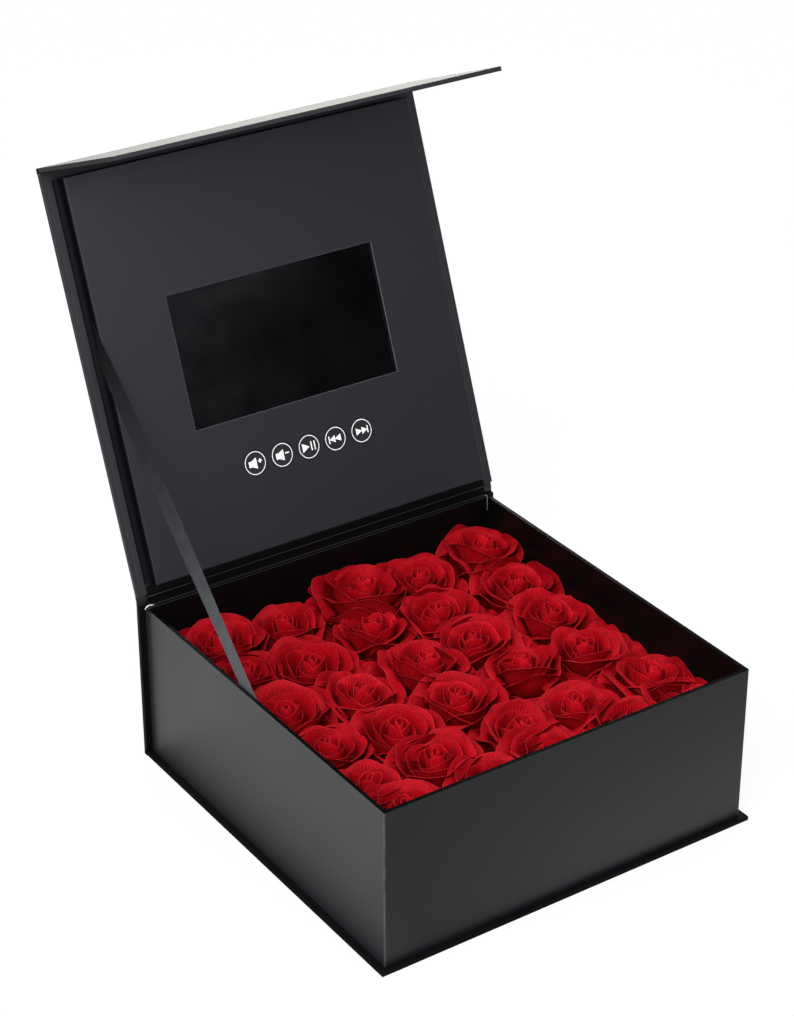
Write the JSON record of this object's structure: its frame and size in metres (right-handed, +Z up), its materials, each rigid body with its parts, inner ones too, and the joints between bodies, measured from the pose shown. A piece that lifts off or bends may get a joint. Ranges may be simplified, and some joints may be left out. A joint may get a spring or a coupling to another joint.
{
  "type": "lcd video brochure",
  "caption": "Rigid hinged gift box whose lid holds a display, push buttons and speaker under a raised panel, with a fold-over flap, ribbon stay and rows of fabric roses in the tray.",
  "frame": {"origin": "middle of the tray, on the underside of the base board", "axes": "+X to the right, +Y towards the spine and hinge, +Z up out of the tray"},
  "size_m": [0.2758, 0.3777, 0.4137],
  "materials": {
    "wrapped_board": "matt black paper over greyboard",
    "wrap_paper": "matt black coated paper",
    "panel_board": "matt black paper over greyboard",
    "ribbon_satin": "black satin ribbon",
    "rose_fabric": "red soft fabric petals",
    "flower_foam": "black open-cell foam",
    "packing_foam": "black closed-cell foam",
    "magnet_nickel": "nickel plate",
    "display_glass": "glossy black",
    "display_housing": "pressed tray, satin",
    "circuit_board": "green solder mask",
    "black_chip": "moulded, matt",
    "socket_steel": "stamped steel",
    "battery_pouch": "foil pouch",
    "speaker_plastic": "moulded, matt",
    "speaker_paper": "pressed paper",
    "flex_film": "amber film",
    "lead_rubber": "flexible",
    "button_plastic": "matt black cap with a printed ring and icon"
  },
  "bodies": {
    "tray": {"base_board": "wrapped_board", "spine_board": "wrapped_board", "tray_front_wall": "wrapped_board", "tray_back_wall": "wrapped_board", "tray_left_wall": "wrapped_board", "tray_right_wall": "wrapped_board", "tray_floor": "wrapped_board", "tray_wrap": "wrap_paper", "base_hinge_strip": "wrap_paper", "lid_hinge_strip": "wrap_paper", "lid_hinge_liner": "wrap_paper", "ribbon_stay": "ribbon_satin", "rose_row_1": "rose_fabric", "rose_row_2": "rose_fabric", "rose_row_3": "rose_fabric", "rose_row_4": "rose_fabric", "rose_row_5": "rose_fabric", "rose_row_6": "rose_fabric", "flower_foam": "flower_foam", "tray_magnets": "magnet_nickel", "sensor_magnet": "magnet_nickel"},
    "lid": {"lid_board": "wrapped_board", "flap_hinge_strip": "wrap_paper", "panel_face": "panel_board", "panel_left_rail": "panel_board", "panel_right_rail": "panel_board", "panel_back_rail": "panel_board", "panel_front_rail": "panel_board", "packing_foam": "packing_foam", "display_pad": "packing_foam", "display_glass": "display_glass", "display_tray": "display_housing", "main_board": "circuit_board", "button_board": "circuit_board", "board_chips": "black_chip", "lid_sensor": "black_chip", "button_switches": "black_chip", "charging_socket": "socket_steel", "battery": "battery_pouch", "speaker_basket": "speaker_plastic", "speaker_cone": "speaker_paper", "display_flex": "flex_film", "button_flex": "flex_film", "speaker_lead": "lead_rubber", "battery_lead": "lead_rubber"},
    "flap": {"flap_board": "wrapped_board", "flap_liner": "wrap_paper", "flap_magnets": "magnet_nickel"},
    "button_volume_up": {"button_volume_up": "button_plastic"},
    "button_volume_down": {"button_volume_down": "button_plastic"},
    "button_play_pause": {"button_play_pause": "button_plastic"},
    "button_previous": {"button_previous": "button_plastic"},
    "button_next": {"button_next": "button_plastic"}
  },
  "joints": [
    {"name": "lid_hinge", "type": "hinge", "parent": "tray", "child": "lid", "pos_m": [0, 0.1383, 0.114], "axis": [1, 0, 0], "range_deg": [0, 111.1], "deforming": ["lid_hinge_strip", "lid_hinge_liner", "ribbon_stay"]},
    {"name": "flap_hinge", "type": "hinge", "parent": "lid", "child": "flap", "pos_m": [0, 0.23827, 0.37308], "axis": [-1, 0, 0], "range_deg": [0, 90], "deforming": ["flap_hinge_strip"]},
    {"name": "button_volume_up_press", "type": "slide", "parent": "lid", "child": "button_volume_up", "axis": [0, 0.933, -0.36], "range_m": [0, 0.0006], "stiffness_N_per_m": 2500},
    {"name": "button_volume_down_press", "type": "slide", "parent": "lid", "child": "button_volume_down", "axis": [0, 0.933, -0.36], "range_m": [0, 0.0006], "stiffness_N_per_m": 2500},
    {"name": "button_play_pause_press", "type": "slide", "parent": "lid", "child": "button_play_pause", "axis": [0, 0.933, -0.36], "range_m": [0, 0.0006], "stiffness_N_per_m": 2500},
    {"name": "button_previous_press", "type": "slide", "parent": "lid", "child": "button_previous", "axis": [0, 0.933, -0.36], "range_m": [0, 0.0006], "stiffness_N_per_m": 2500},
    {"name": "button_next_press", "type": "slide", "parent": "lid", "child": "button_next", "axis": [0, 0.933, -0.36], "range_m": [0, 0.0006], "stiffness_N_per_m": 2500}
  ]
}
